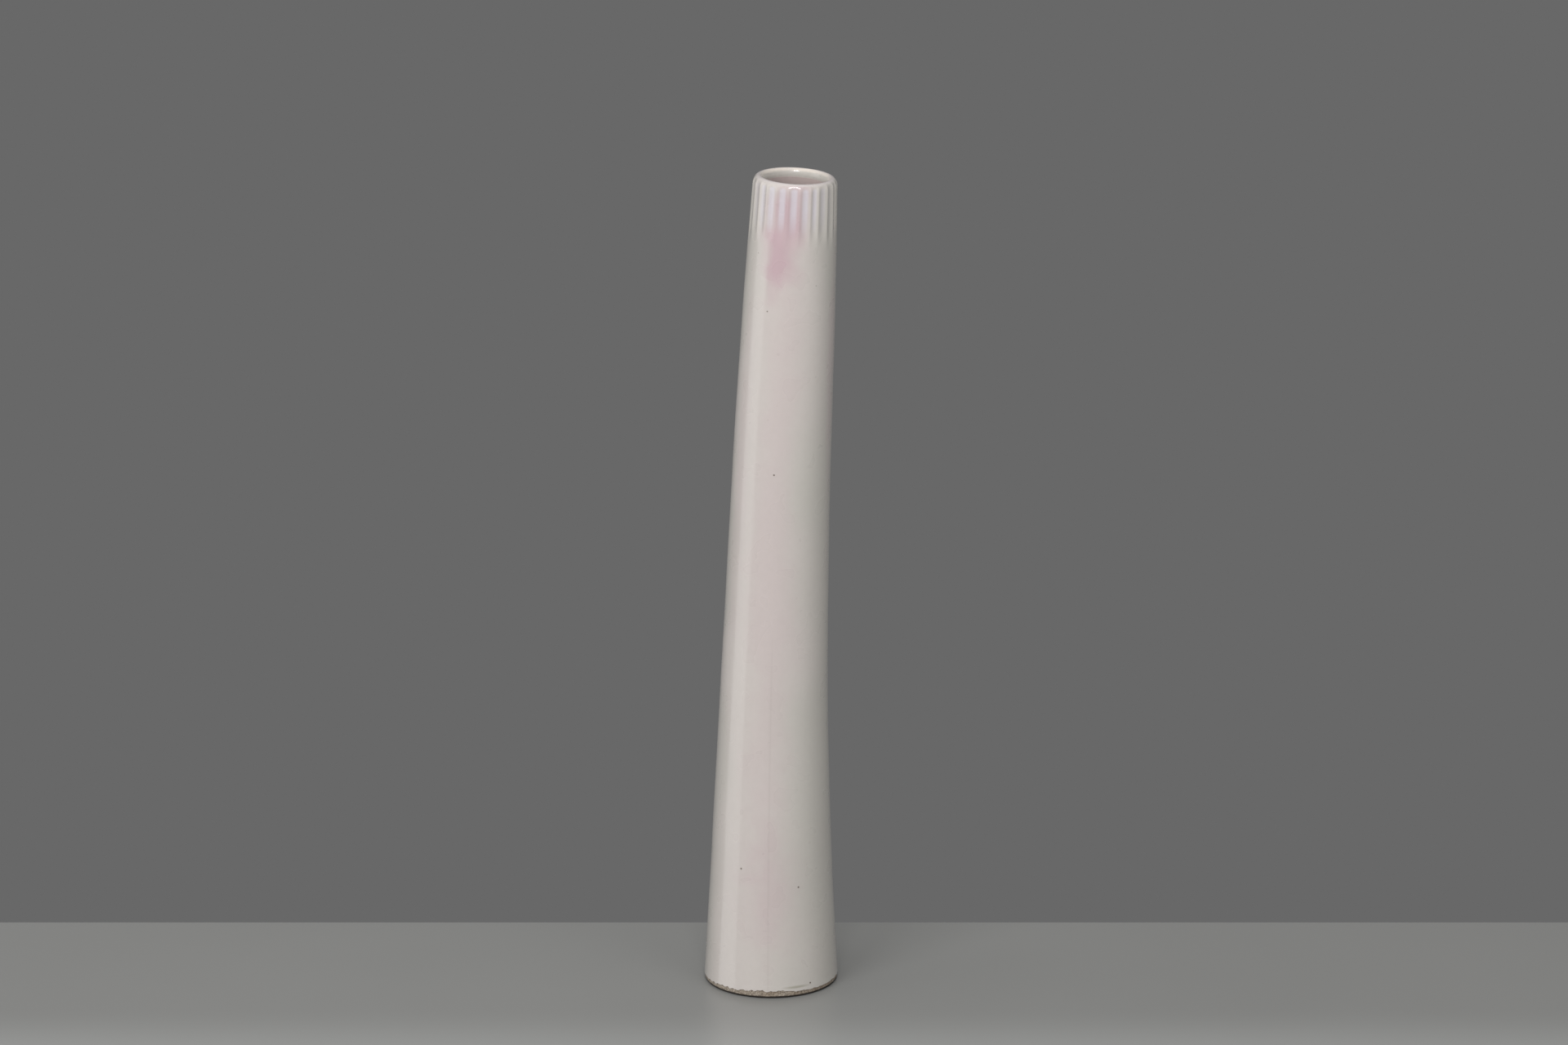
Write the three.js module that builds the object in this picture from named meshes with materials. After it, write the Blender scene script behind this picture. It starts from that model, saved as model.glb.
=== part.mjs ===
// A tall, slender ceramic vase: one fired clay body with a glaze coat outside and another inside.
// It tapers from a round foot, leans a little to +X as it rises, and has cut flutes round its neck.
// Millimetres, +Z up. The origin is the centre of the foot, on the ground, and -Y is the front.
import * as THREE from "three";

// Sizes over the glaze
const HEIGHT = 400; // ground to the crest of the lip, measured up the centreline
const FOOT_RADIUS = 32.5; // where the outer wall would meet the ground
const NECK_RADIUS = 19.9; // where the outer wall would meet the height of the crest
const WALL = 5.4; // glaze, clay and glaze, measured level
const GLAZE = 0.4; // thickness of either coat
const LEAN = 11.7; // how far the crest stands to +X of the foot

// The wall's taper swells from the foot and from the neck to these two handles of its curve.
const LOWER_PULL = { radius: 21.5, height: 190 };
const UPPER_PULL = { radius: 25, height: 270 };

// The centreline leaves the ground upright and bends over between these two handles.
const UPRIGHT_PULL = 120;
const LEANING_PULL = { shift: 2.4, height: 215 };

// Lip
const LIP_RISE = 4; // height of the rounded lip
const LIP_OUT = 3; // its crest lies this far in from the outer wall
const LIP_STEPS = 3; // facets in each quarter of the lip

// Foot
const BARE_BAND = 3; // clay left bare above the ground
const FOOT_ROUND = 1.2; // rounded lower edge
const FOOT_RING = 8; // width of the flat ring that stands on the ground
const RECESS_DEPTH = 1.6; // hollow under the foot
const RECESS_SLOPE = 1.2; // its edge slopes in over this width

// Cavity
const FLOOR = 9; // ground to the glazed floor inside
const FLOOR_ROUND = 9; // corner between floor and inner wall
const FLOOR_STEPS = 3;

// Flutes cut round the neck
const FLUTES = 24;
const FLUTE_DEPTH = 0.7;
const FLUTE_LENGTH = 28; // from the run-out below to the lip's rounding
const FLUTE_RUN_OUT = 12; // length over which they fade into the wall
const FLUTE_LIP_FADE = 3; // they fade out again over this much of the lip's rise

const SECTORS = FLUTES * 2; // a ridge and a groove each have a column of points
const WALL_RINGS = 7; // bands of facets up the plain wall
const FLUTE_RINGS = 4;
const CURVE_TRIES = 40; // halvings when a curve is searched for a height

const lipFoot = HEIGHT - LIP_RISE;
const fluteFoot = lipFoot - FLUTE_LENGTH;

const taper = new THREE.CubicBezierCurve(
  new THREE.Vector2(FOOT_RADIUS, 0),
  new THREE.Vector2(LOWER_PULL.radius, LOWER_PULL.height),
  new THREE.Vector2(UPPER_PULL.radius, UPPER_PULL.height),
  new THREE.Vector2(NECK_RADIUS, HEIGHT),
);

const centreline = new THREE.CubicBezierCurve(
  new THREE.Vector2(0, 0),
  new THREE.Vector2(0, UPRIGHT_PULL),
  new THREE.Vector2(LEANING_PULL.shift, LEANING_PULL.height),
  new THREE.Vector2(LEAN, HEIGHT),
);

// The share of the way along a rising curve at which it reaches a height.
function shareAtHeight(curve, height) {
  let low = 0;
  let high = 1;
  for (let i = 0; i < CURVE_TRIES; i++) {
    const middle = (low + high) / 2;
    if (curve.getPoint(middle).y < height) low = middle;
    else high = middle;
  }
  return (low + high) / 2;
}

// Radius of the glazed outside at a height, before the lean and the flutes.
const outerRadius = (height) => taper.getPoint(shareAtHeight(taper, height)).x;

const lipRadius = outerRadius(lipFoot) - LIP_OUT;

function evenSteps(from, to, count) {
  return Array.from({ length: count + 1 }, (_, i) => from + ((to - from) * i) / count);
}

// Points of a quarter ellipse about a centre, between two angles in quarter turns.
function quarter(centre, acrossRadius, upRadius, from, to, steps) {
  return evenSteps(from, to, steps).map((share) => {
    const angle = (share * Math.PI) / 2;
    return new THREE.Vector2(
      centre.x + acrossRadius * Math.cos(angle),
      centre.y + upRadius * Math.sin(angle),
    );
  });
}

const ringHeights = [
  ...evenSteps(BARE_BAND, fluteFoot, WALL_RINGS),
  ...evenSteps(fluteFoot, lipFoot, FLUTE_RINGS).slice(1),
];

const lipCentre = new THREE.Vector2(lipRadius, lipFoot);

// The outside from the bare band up to the crest, at a depth under the glazed surface.
function outsideLine(depth) {
  const wall = ringHeights.map((height) => new THREE.Vector2(outerRadius(height) - depth, height));
  const lip = quarter(lipCentre, LIP_OUT - depth, LIP_RISE - depth, 0, 1, LIP_STEPS);
  return [...wall, ...lip.slice(1)];
}

// The inside from the crest down to the middle of the floor, at a depth under the glazed surface.
function insideLine(depth) {
  const corner = FLOOR + FLOOR_ROUND;
  const lip = quarter(lipCentre, WALL - LIP_OUT - depth, LIP_RISE - depth, 1, 2, LIP_STEPS);
  const wall = ringHeights
    .filter((height) => height > corner && height < lipFoot)
    .reverse()
    .map((height) => new THREE.Vector2(outerRadius(height) - WALL + depth, height));
  const cornerCentre = new THREE.Vector2(outerRadius(corner) - WALL - FLOOR_ROUND, corner);
  const round = quarter(cornerCentre, FLOOR_ROUND + depth, FLOOR_ROUND + depth, 0, -1, FLOOR_STEPS);
  return [...lip, ...wall, ...round, new THREE.Vector2(0, FLOOR - depth)];
}

// The underside and the rounded edge of the foot, from the middle out.
function footLine() {
  const edgeCentre = new THREE.Vector2(outerRadius(FOOT_ROUND) - GLAZE - FOOT_ROUND, FOOT_ROUND);
  const ringInside = edgeCentre.x - FOOT_RING;
  return [
    new THREE.Vector2(0, RECESS_DEPTH),
    new THREE.Vector2(ringInside - RECESS_SLOPE, RECESS_DEPTH),
    new THREE.Vector2(ringInside, 0),
    ...quarter(edgeCentre, FOOT_ROUND, FOOT_ROUND, -1, 0, 2),
  ];
}

// How far a flute is cut into the outside at a point of the unbent vase.
function fluteCut(radius, height, angle) {
  if (radius < lipRadius || height < fluteFoot) return 0;
  const runOut = THREE.MathUtils.smoothstep(height, fluteFoot, fluteFoot + FLUTE_RUN_OUT);
  const fade = 1 - THREE.MathUtils.smoothstep(height, lipFoot, lipFoot + FLUTE_LIP_FADE);
  const groove = (1 - Math.cos(FLUTES * angle)) / 2;
  return FLUTE_DEPTH * runOut * fade * groove;
}

// Cuts the flutes into a turned shape and bends it along the centreline.
function fluteAndLean(geometry) {
  const position = geometry.attributes.position;
  const point = new THREE.Vector3();
  for (let i = 0; i < position.count; i++) {
    point.fromBufferAttribute(position, i);
    const height = point.z;
    const angle = Math.atan2(point.y, point.x);
    const radius = Math.hypot(point.x, point.y);
    const cutRadius = radius - fluteCut(radius, height, angle);
    const share = shareAtHeight(centreline, height);
    const axis = centreline.getPoint(share);
    const rise = centreline.getTangent(share);
    const across = cutRadius * Math.cos(angle);
    point.set(
      axis.x + across * rise.y,
      cutRadius * Math.sin(angle),
      height - across * rise.x,
    );
    position.setXYZ(i, point.x, point.y, point.z);
  }
  geometry.computeVertexNormals();
  return geometry;
}

const turned = (profile) => new THREE.LatheGeometry(profile, SECTORS).rotateX(Math.PI / 2);

// A coat's profile follows the clay the way the clay's own profile runs, so that the facets of the
// two faces match, and comes back along the glazed face. That leaves it inside out until turned.
function coat(profile) {
  const geometry = turned(profile);
  geometry.index.array.reverse();
  return geometry;
}

const clay = turned([
  ...footLine(),
  ...outsideLine(GLAZE),
  ...insideLine(GLAZE).slice(1),
]);

const outerCoat = coat([
  ...outsideLine(GLAZE),
  ...outsideLine(0).reverse(),
  outsideLine(GLAZE)[0],
]);

const innerCoat = coat([
  ...insideLine(0).reverse(),
  ...insideLine(GLAZE),
]);

function piece(name, geometry, color, roughness) {
  const material = new THREE.MeshStandardMaterial({ color, roughness, metalness: 0 });
  const mesh = new THREE.Mesh(fluteAndLean(geometry), material);
  mesh.name = name;
  return mesh;
}

const vase = new THREE.Group();
vase.add(
  piece("clay_body", clay, 0xb59f8d, 0.9),
  piece("outer_glaze", outerCoat, 0xc6beb9, 0.2),
  piece("inner_glaze", innerCoat, 0xc2b9b3, 0.25),
);

export default vase;
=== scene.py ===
"""A tall, slender vase in a pearly glaze with a pink lustre, standing on a grey plinth.

Metres, +Z up. The foot is at the origin, the pot leans to +X, and its front is -Y.
"""

import bpy
import math
import random
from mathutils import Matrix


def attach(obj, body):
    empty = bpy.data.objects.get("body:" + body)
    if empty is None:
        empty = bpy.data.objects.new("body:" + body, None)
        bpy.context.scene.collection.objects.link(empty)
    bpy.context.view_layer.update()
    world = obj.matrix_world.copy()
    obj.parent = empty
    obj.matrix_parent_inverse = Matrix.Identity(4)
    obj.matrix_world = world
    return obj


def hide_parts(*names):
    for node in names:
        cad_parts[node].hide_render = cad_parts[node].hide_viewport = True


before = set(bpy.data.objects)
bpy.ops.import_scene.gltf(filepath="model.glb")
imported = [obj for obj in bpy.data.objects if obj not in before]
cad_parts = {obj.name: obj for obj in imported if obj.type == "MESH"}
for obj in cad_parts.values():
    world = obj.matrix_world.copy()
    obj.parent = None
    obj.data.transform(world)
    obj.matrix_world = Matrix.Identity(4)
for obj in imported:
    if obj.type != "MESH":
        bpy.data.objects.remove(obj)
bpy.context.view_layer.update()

# The pot's sizes
HEIGHT = 0.400
WALL = 0.0054
GLAZE = 0.0004
CLAY_DEPTH = 0.00045
LIP_RISE = 0.004
LIP_OUT = 0.003
FOOT_ROUND = 0.0012
FOOT_RING = 0.008
RECESS_DEPTH = 0.0016
RECESS_SLOPE = 0.0012
FLOOR = 0.009
FLOOR_ROUND = 0.009
GLAZE_EDGE = 0.0026

# The wall's curve of radius and height, and the line that the pot leans along
TAPER = ((0.0325, 0.0), (0.0215, 0.190), (0.0250, 0.270), (0.0199, HEIGHT))
LEAN = 0.0117
LEAN_START = (0.0, 0.120)
LEAN_END = (0.0024, 0.215)

# Flutes
FLUTES = 24
FLUTE_DEPTH = 0.00070
FLUTE_FOOT = 0.368
FLUTE_RUN_OUT = 0.012
FLUTE_LIP_FADE = 0.0039

HOLLOW_SHARPNESS = 0.3
EDGE_WANDER = 1.5
DEPTH_RANGE = (0.75, 1.0)
RUN_OUT_WANDER = (-0.002, 0.003)

# How finely each stretch is raised
COLUMNS = 360
EDGE_RINGS = (0, 0.0008, 0.0018, 0.003, 0.005)
PLAIN_START, PLAIN_END, PLAIN_BANDS = 0.012, 0.360, 44
FLUTED_START, FLUTED_BANDS = 0.362, 20
LIP_BANDS = 10
INSIDE_BANDS = 50
CORNER_BANDS = 8
FOOT_BANDS = 5
FLOOR_RINGS = (0.012, 0.006, 0.002)
RECESS_RINGS = (0.003, 0.010, 0.016)
RING_CHAMFER = 0.0002
HALVINGS = 30

# Unevenness of the hand-made wall and of the glaze's lower edge
UNEVENNESS = 0.0006
UNEVEN_FROM, UNEVEN_FULL = 0.004, 0.040
RAGGED_REACH = 0.006
BARE_MIDDLE = -16
BARE_FULL, BARE_END = 22, 50
LEAST_BARE = 0.35

LIP_FOOT = HEIGHT - LIP_RISE
SMOOTH_ANGLE = 40

dice = random.Random(7)


def smooth_step(value, low, high):
    share = min(1.0, max(0.0, (value - low) / (high - low)))
    return share * share * (3 - 2 * share)


def along(curve, share):
    rest = 1 - share
    weights = (rest ** 3, 3 * rest * rest * share, 3 * rest * share * share, share ** 3)
    return tuple(sum(w * point[i] for w, point in zip(weights, curve)) for i in (0, 1))


def wall_radius(height):
    low, high = 0.0, 1.0
    for _ in range(HALVINGS):
        middle = (low + high) / 2
        if along(TAPER, middle)[1] < height:
            low = middle
        else:
            high = middle
    return along(TAPER, low)[0]


LIP_RADIUS = wall_radius(LIP_FOOT) - LIP_OUT


def steps(start, end, count):
    return [start + (end - start) * i / count for i in range(count + 1)]


def arc(centre, across, up, start, end, count):
    """Points of an ellipse about a centre, between two angles in quarter turns."""
    turns = [quarter * math.pi / 2 for quarter in steps(start, end, count)]
    return [(centre[0] + across * math.cos(t), centre[1] + up * math.sin(t)) for t in turns]


def outside_rings(depth, lowest):
    plain = [lowest + step for step in EDGE_RINGS]
    plain += steps(PLAIN_START, PLAIN_END, PLAIN_BANDS)
    fluted = steps(FLUTED_START, LIP_FOOT, FLUTED_BANDS)
    wall = [(wall_radius(height) - depth, height) for height in plain + fluted]
    lip = arc((LIP_RADIUS, LIP_FOOT), LIP_OUT - depth, LIP_RISE - depth, 0, 1, LIP_BANDS)
    return wall + lip[1:]


def inside_lip(depth):
    across = WALL - LIP_OUT - depth
    return arc((LIP_RADIUS, LIP_FOOT), across, LIP_RISE - depth, 1, 2, LIP_BANDS)[1:]


def inside_rings(depth):
    corner = FLOOR + FLOOR_ROUND
    heights = steps(LIP_FOOT - 0.002, corner + 0.004, INSIDE_BANDS)
    wall = [(wall_radius(height) - WALL + depth, height) for height in heights]
    centre = (wall_radius(corner) - WALL - FLOOR_ROUND, corner)
    round_corner = arc(centre, FLOOR_ROUND + depth, FLOOR_ROUND + depth, 0, -1, CORNER_BANDS)
    floor = [(radius, FLOOR - depth) for radius in FLOOR_RINGS]
    return wall + round_corner + floor


def foot_rings():
    edge = wall_radius(FOOT_ROUND) - CLAY_DEPTH - FOOT_ROUND
    ring_inside = edge - FOOT_RING
    recess = [(radius, RECESS_DEPTH) for radius in (*RECESS_RINGS, ring_inside - RECESS_SLOPE)]
    ring = [(ring_inside - RING_CHAMFER, RING_CHAMFER), (ring_inside, 0.0)]
    return recess + ring + arc((edge, FOOT_ROUND), FOOT_ROUND, FOOT_ROUND, -1, 0, FOOT_BANDS)


def raise_wall(name, rings, starts_filled=False, ends_closed=False):
    """Raises a wall ring by ring from a circle, each ring pulled up from the last and resized."""
    bpy.ops.object.select_all(action="DESELECT")
    radius, height = rings[0]
    fill = "TRIFAN" if starts_filled else "NOTHING"
    bpy.ops.mesh.primitive_circle_add(
        vertices=COLUMNS, radius=radius, fill_type=fill, location=(0, 0, height))
    piece = bpy.context.object
    piece.name = name
    piece.data.name = name
    bpy.ops.object.transform_apply(location=True, rotation=True, scale=True)
    bpy.ops.object.mode_set(mode="EDIT")
    bpy.ops.mesh.select_mode(type="EDGE")
    bpy.ops.mesh.select_all(action="SELECT")
    if starts_filled:
        bpy.ops.mesh.region_to_loop()
    for next_radius, next_height in rings[1:]:
        rise = {"value": (0, 0, next_height - height)}
        bpy.ops.mesh.extrude_edges_move(TRANSFORM_OT_translate=rise)
        swell = next_radius / radius
        bpy.ops.transform.resize(value=(swell, swell, 1), center_override=(0, 0, next_height))
        radius, height = next_radius, next_height
    if ends_closed:
        bpy.ops.mesh.extrude_edges_move(TRANSFORM_OT_translate={"value": (0, 0, 0)})
        bpy.ops.mesh.merge(type="CENTER")
    bpy.ops.object.mode_set(mode="OBJECT")
    return piece


def face_outwards(piece, inside=False):
    make_active(piece)
    bpy.ops.object.mode_set(mode="EDIT")
    bpy.ops.mesh.select_all(action="SELECT")
    bpy.ops.mesh.normals_make_consistent(inside=inside)
    bpy.ops.object.mode_set(mode="OBJECT")


def make_active(piece):
    bpy.ops.object.select_all(action="DESELECT")
    piece.select_set(True)
    bpy.context.view_layer.objects.active = piece


def finish_with(piece, kind, **settings):
    """Puts one modifier on a piece and applies it."""
    make_active(piece)
    modifier = piece.modifiers.new(kind.lower(), kind)
    for key, value in settings.items():
        setattr(modifier, key, value)
    bpy.context.view_layer.update()
    bpy.ops.object.modifier_apply(modifier=modifier.name)


# Each flute is cut by hand: its edges, depth and length differ a little from the next one's.
FRONT_EDGES = (-55, -41, -25, -9, 7, 22, 34, 50, 64, 76)
rest_of_turn = steps(FRONT_EDGES[-1], 360 + FRONT_EDGES[0], FLUTES - len(FRONT_EDGES) + 1)
flute_edges = list(FRONT_EDGES)
flute_edges += [edge + dice.uniform(-EDGE_WANDER, EDGE_WANDER) for edge in rest_of_turn[1:-1]]
flute_edges = sorted(edge % 360 for edge in flute_edges)
flute_depths = [dice.uniform(*DEPTH_RANGE) for _ in range(FLUTES)]
flute_feet = [FLUTE_FOOT + dice.uniform(*RUN_OUT_WANDER) for _ in range(FLUTES)]


def flute_at(turn, radius, height):
    """The flute at a place on the upright pot, and how far into its hollow the place is."""
    if radius < LIP_RADIUS or height < FLUTE_FOOT - 0.004:
        return 0, 0.0
    turn = math.degrees(turn) % 360
    number = sum(1 for edge in flute_edges if edge <= turn) - 1
    start = flute_edges[number] - (360 if number < 0 else 0)
    end = flute_edges[(number + 1) % FLUTES]
    end += 360 if end < start else 0
    hollow = math.cos(math.pi * ((turn - start) / (end - start) - 0.5))
    hollow = (1 - HOLLOW_SHARPNESS) * hollow + HOLLOW_SHARPNESS * hollow * hollow
    foot = flute_feet[number]
    run_out = smooth_step(height, foot, foot + FLUTE_RUN_OUT)
    fade = 1 - smooth_step(height, LIP_FOOT + FLUTE_LIP_FADE / 4, LIP_FOOT + FLUTE_LIP_FADE)
    return number, hollow * run_out * fade


def way_over_lip(radius, height):
    """0 on the outer wall, a half on the crest of the lip, and 1 on the inner wall."""
    if height > LIP_FOOT:
        return math.atan2(height - LIP_FOOT, radius - LIP_RADIUS) / math.pi
    return 0.0 if radius > wall_radius(height) - WALL / 2 else 1.0


def bare_share(turn):
    """The glaze's edge is most ragged and highest at the front, left of the middle."""
    off_middle = abs(math.degrees(turn) - BARE_MIDDLE)
    return LEAST_BARE + (1 - LEAST_BARE) * (1 - smooth_step(off_middle, BARE_FULL, BARE_END))


def mark_group(piece, name, weights):
    group = piece.vertex_groups.new(name=name)
    for index, weight in enumerate(weights):
        if weight > 0:
            group.add([index], weight, "REPLACE")


def mark_attribute(piece, name, values):
    attribute = piece.data.attributes.new(name, "FLOAT", "POINT")
    attribute.data.foreach_set("value", values)


def mark_surface(piece):
    """Marks the flutes, how far over the lip each point is, the glaze's edge and the uneven wall."""
    spots = [(math.atan2(v.co.x, -v.co.y), math.hypot(v.co.x, v.co.y), v.co.z)
             for v in piece.data.vertices]
    flutes = [flute_at(turn, radius, height) for turn, radius, height in spots]
    edges = [bare_share(turn) * (1 - smooth_step(height, GLAZE_EDGE, GLAZE_EDGE + RAGGED_REACH))
             for turn, _, height in spots]
    uneven = [smooth_step(height, UNEVEN_FROM, UNEVEN_FULL) for _, _, height in spots]
    mark_group(piece, "flutes", [flute_depths[number] * hollow for number, hollow in flutes])
    mark_group(piece, "glaze_edge", edges)
    mark_group(piece, "uneven", uneven)
    mark_attribute(piece, "flute", [hollow for _, hollow in flutes])
    mark_attribute(piece, "over_lip", [way_over_lip(radius, height) for _, radius, height in spots])


def cloud_texture(name, size, depth):
    texture = bpy.data.textures.new(name, "CLOUDS")
    texture.noise_scale = size
    texture.noise_depth = depth
    texture.noise_basis = "IMPROVED_PERLIN"
    return texture


hand_texture = cloud_texture("hand_unevenness", 0.045, 1)
edge_texture = cloud_texture("ragged_edge", 0.0024, 3)
drift_texture = cloud_texture("drifting_edge", 0.016, 1)

# Each texture that shapes the glaze's edge, with its strength and its level of no change
EDGE_SHAPES = ((edge_texture, 0.0034, 0.45), (drift_texture, 0.0026, 0.1))


def cut_flutes(piece):
    finish_with(piece, "DISPLACE", vertex_group="flutes", mid_level=0, strength=-FLUTE_DEPTH)
    finish_with(piece, "DISPLACE", vertex_group="uneven", texture=hand_texture,
                texture_coords="LOCAL", strength=UNEVENNESS)


def rag_edge(piece):
    for texture, strength, middle in EDGE_SHAPES:
        finish_with(piece, "DISPLACE", vertex_group="glaze_edge", texture=texture,
                    texture_coords="LOCAL", direction="Z", strength=strength, mid_level=middle)


def thicken(piece):
    finish_with(piece, "SOLIDIFY", thickness=GLAZE, offset=-1)


def draw_lean():
    """The line that the pot leans along."""
    bpy.ops.object.select_all(action="DESELECT")
    bpy.ops.curve.primitive_bezier_curve_add(location=(0, 0, 0))
    line = bpy.context.object
    line.name = "lean"
    line.data.dimensions = "3D"
    line.data.resolution_u = 64
    start, end = line.data.splines[0].bezier_points
    for point in (start, end):
        point.handle_left_type = "FREE"
        point.handle_right_type = "FREE"
        point.tilt = math.pi
    start.co = (0, 0, 0)
    start.handle_left = (-LEAN_START[0], 0, -LEAN_START[1])
    start.handle_right = (LEAN_START[0], 0, LEAN_START[1])
    end.co = (LEAN, 0, HEIGHT)
    end.handle_left = (LEAN_END[0], 0, LEAN_END[1])
    end.handle_right = (2 * LEAN - LEAN_END[0], 0, 2 * HEIGHT - LEAN_END[1])
    return line


lean_line = draw_lean()


def lean_over(piece):
    finish_with(piece, "CURVE", object=lean_line, deform_axis="POS_Z")


def finish_piece(piece, node):
    make_active(piece)
    bpy.ops.object.shade_smooth_by_angle(angle=math.radians(SMOOTH_ANGLE))
    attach(piece, "root")
    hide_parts(node)


outer_glaze = raise_wall("outer_glaze_coat", outside_rings(0, GLAZE_EDGE) + inside_lip(0))
face_outwards(outer_glaze)
mark_surface(outer_glaze)
cut_flutes(outer_glaze)
rag_edge(outer_glaze)
thicken(outer_glaze)
lean_over(outer_glaze)
finish_piece(outer_glaze, "outer_glaze")

inner_wall_top = (LIP_RADIUS - WALL + LIP_OUT, LIP_FOOT)
inner_glaze = raise_wall("inner_glaze_coat", [inner_wall_top] + inside_rings(0), ends_closed=True)
face_outwards(inner_glaze, inside=True)
mark_surface(inner_glaze)
thicken(inner_glaze)
lean_over(inner_glaze)
finish_piece(inner_glaze, "inner_glaze")

clay_rings = foot_rings() + outside_rings(CLAY_DEPTH, GLAZE_EDGE)
clay_rings += inside_lip(CLAY_DEPTH) + inside_rings(CLAY_DEPTH)
clay_body = raise_wall("fired_clay_body", clay_rings, starts_filled=True, ends_closed=True)
face_outwards(clay_body)
mark_surface(clay_body)
cut_flutes(clay_body)
lean_over(clay_body)
finish_piece(clay_body, "clay_body")

bpy.data.objects.remove(lean_line)


# Colours and finishes

def tint(red, green, blue):
    """A colour written as it looks, from 0 to 255, turned into light."""
    def light(part):
        part /= 255
        return part / 12.92 if part <= 0.04045 else ((part + 0.055) / 1.055) ** 2.4
    return (light(red), light(green), light(blue), 1.0)


class Bench:
    """Lays out the nodes of one material or group and joins them up."""

    def __init__(self, tree):
        self.tree = tree

    def node(self, kind, inputs=None, **settings):
        made = self.tree.nodes.new(kind)
        for key, value in settings.items():
            setattr(made, key, value)
        for key, value in (inputs or {}).items():
            socket = made.inputs[key]
            if isinstance(value, bpy.types.NodeSocket):
                self.tree.links.new(value, socket)
            else:
                socket.default_value = value
        return made

    def math(self, operation, first, second=0.0, clamp=False):
        made = self.node(
            "ShaderNodeMath", {0: first, 1: second}, operation=operation, use_clamp=clamp)
        return made.outputs[0]

    def noise(self, vector, size, detail=3.0, roughness=0.5):
        made = self.node(
            "ShaderNodeTexNoise",
            {"Vector": vector, "Scale": 1 / size, "Detail": detail, "Roughness": roughness})
        return made.outputs["Fac"]

    def ramp(self, value, low, high, to_low=0.0, to_high=1.0):
        made = self.node(
            "ShaderNodeMapRange",
            {"Value": value, "From Min": low, "From Max": high,
             "To Min": to_low, "To Max": to_high},
            interpolation_type="SMOOTHSTEP")
        return made.outputs["Result"]

    def mix(self, share, first, second):
        made = self.node("ShaderNodeMix", data_type="RGBA")
        for index, value in ((0, share), (6, first), (7, second)):
            if isinstance(value, bpy.types.NodeSocket):
                self.tree.links.new(value, made.inputs[index])
            else:
                made.inputs[index].default_value = value
        return made.outputs[2]

    def group(self, shared, inputs):
        made = self.tree.nodes.new("ShaderNodeGroup")
        made.node_tree = shared
        for key, value in inputs.items():
            if isinstance(value, bpy.types.NodeSocket):
                self.tree.links.new(value, made.inputs[key])
            else:
                made.inputs[key].default_value = value
        return made.outputs


def shared_group(name, inputs, outputs):
    tree = bpy.data.node_groups.new(name, "ShaderNodeTree")
    for socket_name, kind, value in inputs:
        socket = tree.interface.new_socket(name=socket_name, in_out="INPUT", socket_type=kind)
        if value is not None:
            socket.default_value = value
    for socket_name, kind in outputs:
        tree.interface.new_socket(name=socket_name, in_out="OUTPUT", socket_type=kind)
    entry = tree.nodes.new("NodeGroupInput")
    leave = tree.nodes.new("NodeGroupOutput")
    return tree, Bench(tree), entry.outputs, leave.inputs


NUMBER = "NodeSocketFloat"
VECTOR = "NodeSocketVector"


LEAN_POWER = 2.3


def make_round_the_pot():
    """Turns a place on the pot into how far round it is from the front and how high."""
    tree, bench, given, out = shared_group(
        "round_the_pot", [("Place", VECTOR, None)], [("Around", NUMBER), ("Up", NUMBER)])
    split = bench.node("ShaderNodeSeparateXYZ", {0: given["Place"]}).outputs
    share = bench.math("DIVIDE", bench.math("MAXIMUM", split[2], 0.0), HEIGHT)
    shift = bench.math("MULTIPLY", bench.math("POWER", share, LEAN_POWER), LEAN)
    across = bench.math("SUBTRACT", split[0], shift)
    front = bench.math("MULTIPLY", split[1], -1.0)
    tree.links.new(bench.math("ARCTAN2", across, front), out["Around"])
    tree.links.new(split[2], out["Up"])
    return tree


def make_lustre_patch():
    """One soft-edged patch of lustre, given where its middle is and how far it reaches."""
    tree, bench, given, out = shared_group(
        "lustre_patch",
        [("Around", NUMBER, 0.0), ("Up", NUMBER, 0.0), ("Middle Around", NUMBER, 0.0),
         ("Middle Up", NUMBER, 0.0), ("Half Width", NUMBER, 1.0), ("Half Height", NUMBER, 1.0),
         ("Drift", NUMBER, 0.0), ("Strength", NUMBER, 1.0)],
        [("Mask", NUMBER)])
    off_around = bench.math("SUBTRACT", given["Around"], given["Middle Around"])
    across = bench.math("DIVIDE", off_around, given["Half Width"])
    off_up = bench.math("SUBTRACT", given["Up"], given["Middle Up"])
    along_up = bench.math("DIVIDE", off_up, given["Half Height"])
    squared = bench.math("ADD", bench.math("POWER", bench.math("ABSOLUTE", across), 2.0),
                         bench.math("POWER", bench.math("ABSOLUTE", along_up), 2.0))
    reach = bench.math("ADD", bench.math("SQRT", squared), given["Drift"])
    mask = bench.ramp(reach, 1.1, 0.2)
    tree.links.new(bench.math("MULTIPLY", mask, given["Strength"]), out["Mask"])
    return tree


def make_pinhole():
    """One tiny pit in the glaze."""
    tree, bench, given, out = shared_group(
        "pinhole", [("Place", VECTOR, None), ("Pit", VECTOR, None), ("Size", NUMBER, 0.0005)],
        [("Mask", NUMBER)])
    apart = bench.node(
        "ShaderNodeVectorMath", {0: given["Place"], 1: given["Pit"]}, operation="DISTANCE")
    near = bench.math("DIVIDE", apart.outputs["Value"], given["Size"])
    tree.links.new(bench.ramp(near, 1.0, 0.4), out["Mask"])
    return tree


round_the_pot = make_round_the_pot()
lustre_patch = make_lustre_patch()
pinhole = make_pinhole()


def new_finish(name):
    material = bpy.data.materials.new(name)
    material.use_nodes = True
    tree = material.node_tree
    shader = tree.nodes["Principled BSDF"]
    return material, Bench(tree), shader


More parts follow.
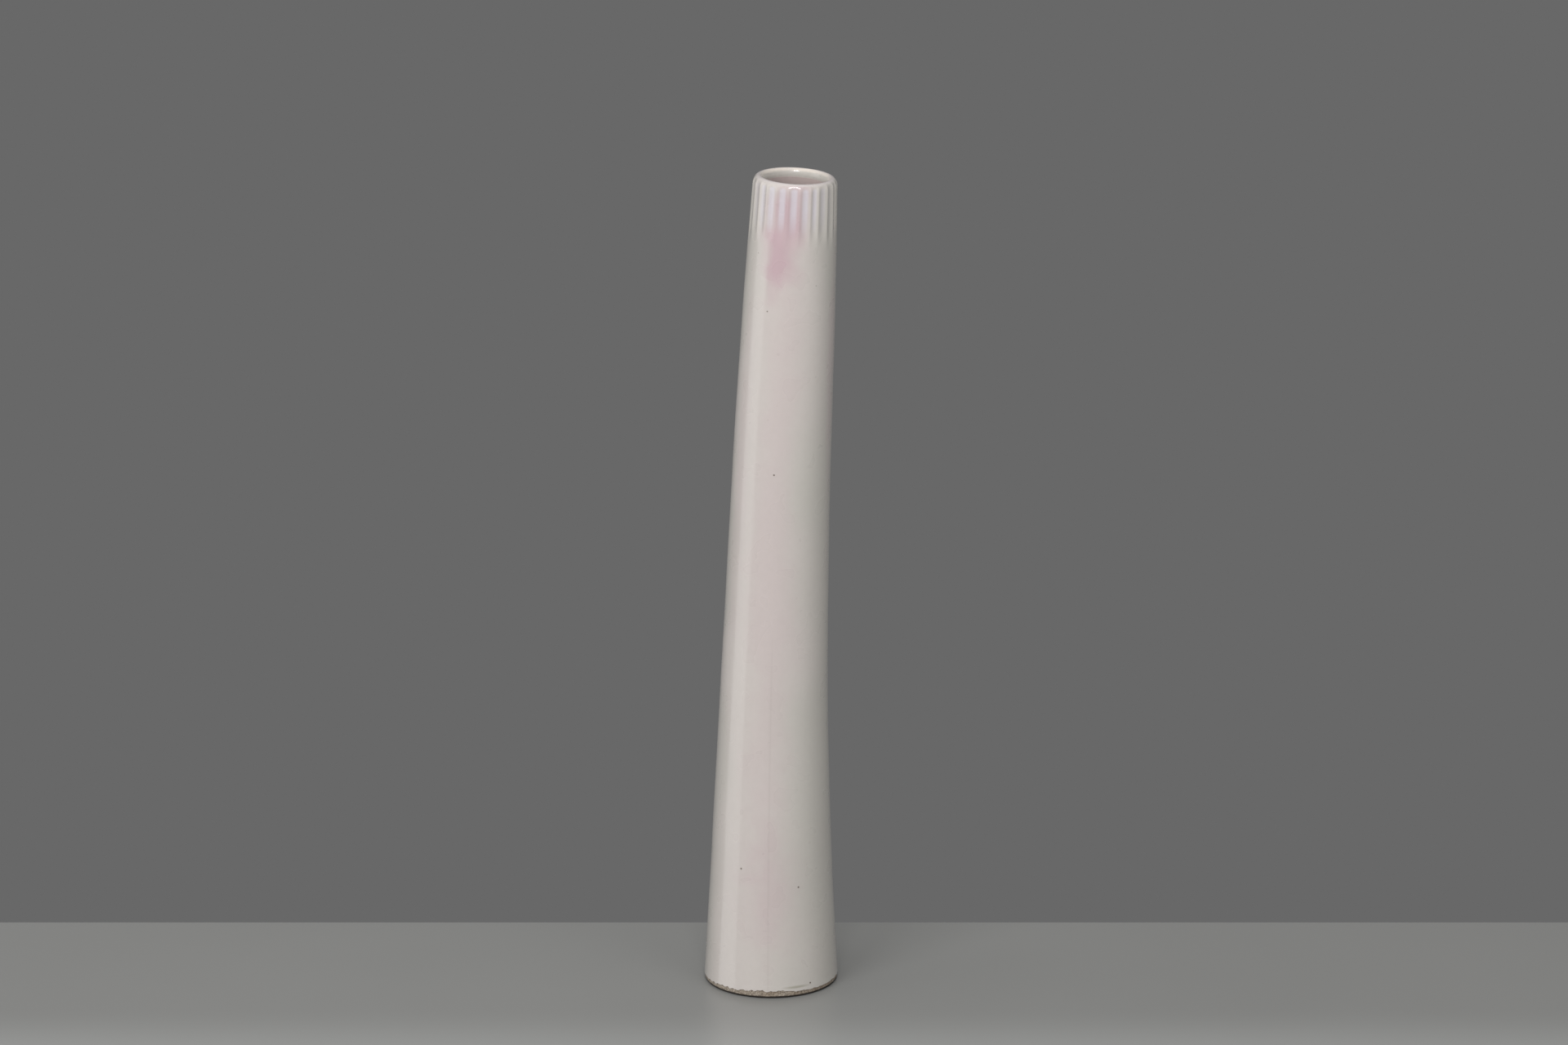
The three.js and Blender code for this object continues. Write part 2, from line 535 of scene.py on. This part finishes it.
PEARL = tint(199, 192, 187)
# Painted shade with a greenish sheen tone, laid on the sides away from the front
SIDE_SHADE_AND_SHEEN = tint(192, 188, 181)
INSIDE_PEARL = tint(203, 188, 188)
# Painted shade for the sides of the inside
INSIDE_SHADE = tint(197, 182, 178)
PINK = tint(190, 166, 171)
OPAL_AND_SHEEN = tint(206, 201, 209)
LIP_WHITE = tint(208, 200, 198)
IVORY = tint(224, 214, 203)
THIN_GREEN = tint(158, 154, 140)
PIT = tint(96, 84, 74)
MOTTLE = tint(168, 160, 154)

# Middle around and up, half width and height, and strength of each pink patch
PINK_PATCHES = (
    (-0.16, 0.382, 0.66, 0.028, 0.85),
    (-0.36, 0.358, 0.22, 0.018, 0.35),
    (-0.10, 0.200, 0.62, 0.230, 0.24),
    (-0.02, 0.052, 0.85, 0.048, 0.30),
    (1.25, 0.300, 0.25, 0.095, 0.25),
    (-0.95, 0.250, 0.30, 0.110, 0.15),
    (2.60, 0.330, 0.70, 0.060, 0.50),
    (-2.30, 0.120, 0.60, 0.080, 0.35),
)

# The thin greenish streak above the bare clay: middle around and up, half width and height
STREAK = (0.40, 0.0052, 0.26, 0.0009)

# The faint darker line up the lower front
FAINT_LINE_AROUND = -0.045
FAINT_LINE_TOP, FAINT_LINE_FADE = 0.16, 0.19

# Sizes of the clouds of colour in the glaze, and the range that a noise mostly keeps to
BROAD_CLOUD = 0.060
SMALL_CLOUD = 0.011
MOTTLE_GRAIN = 0.0026
SWELL = 0.009
NOISE_LOW, NOISE_HIGH = 0.3, 0.7

PIT_RADIUS = 0.0006
CREST = 0.5
INSIDE_CREST = 0.60

# Pits seen in the glaze: how far round and how high
PITS = (
    (-1.15, 0.277), (-0.83, 0.366), (-0.46, 0.339), (-0.12, 0.260),
    (0.62, 0.351), (-0.52, 0.064), (0.46, 0.055), (0.63, 0.006),
)


def pit_place(around, up):
    radius = wall_radius(up)
    shift = LEAN * (up / HEIGHT) ** LEAN_POWER
    return (shift + radius * math.sin(around), -radius * math.cos(around), up)


def body_colour_and_side_shade(bench, around, broad, light, shade):
    """The pearl at the front, turning round either side to a painted shade with a greenish sheen
    tone.
    """
    side = bench.math("ADD", around, bench.ramp(broad, NOISE_LOW, NOISE_HIGH, -0.5, 0.5))
    # Painted shade and sheen: the colour turns from the front's tone to the side tone round either
    # side
    colour = bench.mix(bench.ramp(side, -0.1, 1.3), light, shade)
    return bench.mix(bench.ramp(side, -0.9, -1.7, 0.0, 0.8), colour, shade)


def pink_lustre(bench, around, up, broad, middling):
    """How pink each place is: all the patches together, with drifting edges."""
    drift = bench.math("ADD", bench.ramp(broad, NOISE_LOW, NOISE_HIGH, -0.18, 0.18),
                       bench.ramp(middling, NOISE_LOW, NOISE_HIGH, -0.12, 0.12))
    total = None
    for middle_around, middle_up, half_width, half_height, strength in PINK_PATCHES:
        mask = bench.group(lustre_patch, {
            "Around": around, "Up": up, "Middle Around": middle_around, "Middle Up": middle_up,
            "Half Width": half_width, "Half Height": half_height, "Drift": drift,
            "Strength": strength})["Mask"]
        total = mask if total is None else bench.math("ADD", total, mask, clamp=True)
    return total


def opal_and_sheen_in_flutes(bench, around, up):
    """The bluish opal glaze that pools in the flutes, with a painted sheen that is kept to the
    front.
    """
    flute = bench.node("ShaderNodeAttribute", attribute_name="flute").outputs["Fac"]
    near_lip = bench.ramp(up, 0.372, 0.388)
    off_front = bench.math("ABSOLUTE", bench.math("ADD", around, 0.1))
    # Painted sheen: the pale bands show only on the front and fade out round the sides
    sheen_front = bench.ramp(off_front, 1.3, 0.5)
    pooled = bench.ramp(flute, 0.30, 0.95, 0.0, 0.7)
    return bench.math("MULTIPLY", bench.math("MULTIPLY", near_lip, sheen_front), pooled)


def streak_mask(bench, around, up):
    middle_around, middle_up, half_width, half_height = STREAK
    return bench.group(lustre_patch, {
        "Around": around, "Up": up, "Middle Around": middle_around, "Middle Up": middle_up,
        "Half Width": half_width, "Half Height": half_height, "Drift": 0.0,
        "Strength": 0.8})["Mask"]


def faint_line_mask(bench, around, up):
    off_faint_line = bench.math("ABSOLUTE", bench.math("SUBTRACT", around, FAINT_LINE_AROUND))
    line = bench.ramp(off_faint_line, 0.026, 0.006, 0.0, 0.16)
    return bench.math("MULTIPLY", bench.ramp(up, FAINT_LINE_FADE, FAINT_LINE_TOP), line)


def pit_mask(bench, place):
    total = None
    for around, up in PITS:
        mask = bench.group(pinhole, {
            "Place": place, "Pit": pit_place(around, up), "Size": PIT_RADIUS})["Mask"]
        total = mask if total is None else bench.math("MAXIMUM", total, mask)
    return total


def make_pearl_glaze(name, light, shade, pits):
    material, bench, shader = new_finish(name)
    place = bench.node("ShaderNodeTexCoord").outputs["Object"]
    slant = bench.node("ShaderNodeMapping", {"Vector": place, "Rotation": (0.5, 0.8, 0.3)})
    turned = slant.outputs[0]
    seat = bench.group(round_the_pot, {"Place": place})
    around, up = seat["Around"], seat["Up"]
    over_lip = bench.node("ShaderNodeAttribute", attribute_name="over_lip").outputs["Fac"]
    broad = bench.noise(turned, BROAD_CLOUD, 1.0)
    middling = bench.noise(turned, SMALL_CLOUD, 1.5)
    fine = bench.noise(turned, MOTTLE_GRAIN, 1.0)

    colour = body_colour_and_side_shade(bench, around, broad, light, shade)
    off_crest = bench.math("ABSOLUTE", bench.math("SUBTRACT", over_lip, CREST))
    off_crest = bench.ramp(off_crest, 0.04, 0.20)
    pink = pink_lustre(bench, around, up, broad, middling)
    colour = bench.mix(bench.math("MULTIPLY", pink, off_crest), colour, PINK)
    # Opal glaze pooled in the flutes, partly a painted sheen on the front
    colour = bench.mix(opal_and_sheen_in_flutes(bench, around, up), colour, OPAL_AND_SHEEN)

    # The glaze is whitish on the crest and thin, so cream, just inside it
    colour = bench.mix(bench.math("SUBTRACT", 1.0, off_crest), colour, LIP_WHITE)
    off_thin = bench.math("ABSOLUTE", bench.math("SUBTRACT", over_lip, INSIDE_CREST))
    thin = bench.math("MULTIPLY", bench.ramp(off_thin, 0.13, 0.03),
                      bench.ramp(middling, 0.3, 0.6, 0.25, 0.8))
    colour = bench.mix(thin, colour, IVORY)

    colour = bench.mix(bench.ramp(fine, 0.3, 0.8, 0.0, 0.06), colour, MOTTLE)
    colour = bench.mix(streak_mask(bench, around, up), colour, THIN_GREEN)
    colour = bench.mix(faint_line_mask(bench, around, up), colour, MOTTLE)
    if pits:
        colour = bench.mix(pit_mask(bench, place), colour, PIT)
    bench.tree.links.new(colour, shader.inputs["Base Color"])

    bench.tree.links.new(bench.ramp(middling, 0.2, 0.8, 0.24, 0.38), shader.inputs["Roughness"])
    shader.inputs["Coat Weight"].default_value = 0.7
    shader.inputs["Coat Roughness"].default_value = 0.07
    shader.inputs["IOR"].default_value = 1.5

    swell = bench.noise(turned, SWELL, 0.0)
    bump = bench.node("ShaderNodeBump", {"Strength": 0.10, "Distance": 0.0006, "Height": swell})
    bench.tree.links.new(bump.outputs["Normal"], shader.inputs["Normal"])
    return material


CLAY_DARK = tint(96, 86, 77)
CLAY_LIGHT = tint(190, 178, 163)
CLAY_STAIN = tint(134, 116, 96)
CLAY_SPECK = tint(70, 58, 48)
# Near black, for the painted contact shadow along the lowest edge of the foot
CLAY_PAINTED_CONTACT_SHADOW = tint(34, 30, 27)
CLAY_GRAIN = 0.0008
STAIN_CLOUD = 0.010
SPECKS_PER_METRE = 900.0


def make_bare_clay():
    material, bench, shader = new_finish("bare_clay")
    place = bench.node("ShaderNodeTexCoord").outputs["Object"]
    grain = bench.noise(place, CLAY_GRAIN, 4.0, 0.7)
    stain = bench.noise(place, STAIN_CLOUD, 4.0)
    colour = bench.mix(bench.ramp(grain, NOISE_LOW, NOISE_HIGH), CLAY_DARK, CLAY_LIGHT)
    colour = bench.mix(bench.ramp(stain, 0.4, 0.7, 0.0, 0.45), colour, CLAY_STAIN)
    cells = bench.node("ShaderNodeTexVoronoi", {"Vector": place, "Scale": SPECKS_PER_METRE})
    specks = bench.ramp(cells.outputs["Distance"], 0.22, 0.10, 0.0, 0.7)
    colour = bench.mix(specks, colour, CLAY_SPECK)
    up = bench.node("ShaderNodeSeparateXYZ", {0: place}).outputs[2]
    # Painted contact shadow: the clay turns near black in the lowest 1.5 mm of the foot
    colour = bench.mix(bench.ramp(up, 0.0015, 0.0009, 0.0, 0.95), colour, CLAY_PAINTED_CONTACT_SHADOW)
    bench.tree.links.new(colour, shader.inputs["Base Color"])
    shader.inputs["Roughness"].default_value = 0.9
    bump = bench.node("ShaderNodeBump", {"Strength": 0.7, "Distance": 0.0007, "Height": grain})
    bench.tree.links.new(bump.outputs["Normal"], shader.inputs["Normal"])
    return material


def dress(piece, material):
    piece.data.materials.clear()
    piece.data.materials.append(material)


dress(outer_glaze, make_pearl_glaze("pearl_glaze", PEARL, SIDE_SHADE_AND_SHEEN, pits=True))
dress(inner_glaze, make_pearl_glaze("inside_glaze", INSIDE_PEARL, INSIDE_SHADE, pits=False))
dress(clay_body, make_bare_clay())


# Plinth, light and camera

BACKDROP = tint(104, 104, 104)
PLINTH = tint(144, 144, 142)
PLINTH_CLOUD = tint(136, 136, 134)
# Paler grey for the painted light towards the plinth's front
PLINTH_PAINTED_FRONT_LIGHT = tint(160, 161, 159)
PLINTH_SIZE = (3.0, 2.0, 0.04)
PLINTH_BACK = 0.076


def make_plinth():
    bpy.ops.object.select_all(action="DESELECT")
    middle = (0, PLINTH_BACK - PLINTH_SIZE[1] / 2, -PLINTH_SIZE[2] / 2)
    bpy.ops.mesh.primitive_cube_add(size=1, location=middle, scale=PLINTH_SIZE)
    plinth = bpy.context.object
    plinth.name = "plinth"
    bpy.ops.object.transform_apply(location=True, rotation=True, scale=True)
    material, bench, shader = new_finish("plinth_grey")
    place = bench.node("ShaderNodeTexCoord").outputs["Object"]
    tone = bench.noise(place, 0.15, 2.0)
    colour = bench.mix(bench.ramp(tone, NOISE_LOW, NOISE_HIGH, 0.0, 0.2), PLINTH, PLINTH_CLOUD)
    ahead = bench.node("ShaderNodeSeparateXYZ", {0: place}).outputs[1]
    # Painted light: the plinth grows paler towards the front edge
    colour = bench.mix(bench.ramp(ahead, -0.045, -0.110), colour, PLINTH_PAINTED_FRONT_LIGHT)
    bench.tree.links.new(colour, shader.inputs["Base Color"])
    shader.inputs["Roughness"].default_value = 0.32
    dress(plinth, material)
    plinth.visible_glossy = False


make_plinth()


def soft_lamp(name, place, target, size, watts, mirrored=False):
    lamp = bpy.data.lights.new(name, "AREA")
    lamp.shape = "RECTANGLE"
    lamp.size, lamp.size_y = size
    lamp.energy = watts
    holder = bpy.data.objects.new(name, lamp)
    bpy.context.scene.collection.objects.link(holder)
    holder.location = place
    holder.visible_glossy = mirrored
    way = [t - p for t, p in zip(target, place)]
    flat = math.hypot(way[0], way[1])
    holder.rotation_euler = (math.atan2(flat, -way[2]), 0, math.atan2(-way[0], way[1]))


MIDDLE = (0.0, 0.0, 0.2)

# The first two lamps show in the glaze as highlights; the others only light it
soft_lamp("left_softbox", (-1.49, -0.20, 0.25), MIDDLE, (1.0, 2.3), 6, mirrored=True)
soft_lamp("front_top", (0.0, -1.40, 1.80), MIDDLE, (0.60, 0.30), 12, mirrored=True)
soft_lamp("key", (-1.70, -2.50, 1.15), MIDDLE, (1.6, 1.6), 50)
soft_lamp("fill", (1.90, -2.40, 0.55), MIDDLE, (1.6, 1.6), 24)
soft_lamp("overhead", (0.0, 0.0, 2.30), MIDDLE, (1.2, 1.2), 12)


SOFT_FILL = (0.25, 0.25, 0.25, 1.0)


def make_world():
    """Weak light from all round, and the backdrop's grey wherever it is seen or mirrored."""
    world = bpy.data.worlds.new("studio")
    bpy.context.scene.world = world
    world.use_nodes = True
    tree = world.node_tree
    bench = Bench(tree)
    background = tree.nodes["Background"]
    rays = bench.node("ShaderNodeLightPath").outputs
    seen = bench.math("MAXIMUM", rays["Is Camera Ray"], bench.math(
        "MAXIMUM", rays["Is Glossy Ray"], rays["Is Transmission Ray"]))
    colour = bench.mix(seen, SOFT_FILL, BACKDROP)
    tree.links.new(colour, background.inputs["Color"])
    background.inputs["Strength"].default_value = 1.0


make_world()

CAMERA_PLACE = (0.0063, -3.135, 1.160)
LOOKS_DOWN = 16.525
LENS = 157.5

camera = bpy.data.objects.new("camera", bpy.data.cameras.new("camera"))
bpy.context.scene.collection.objects.link(camera)
camera.data.sensor_width = 36
camera.data.lens = LENS
camera.data.clip_end = 20
camera.location = CAMERA_PLACE
camera.rotation_euler = (math.radians(90 - LOOKS_DOWN), 0, 0)
bpy.context.scene.camera = camera
bpy.context.scene.view_settings.view_transform = "Standard"
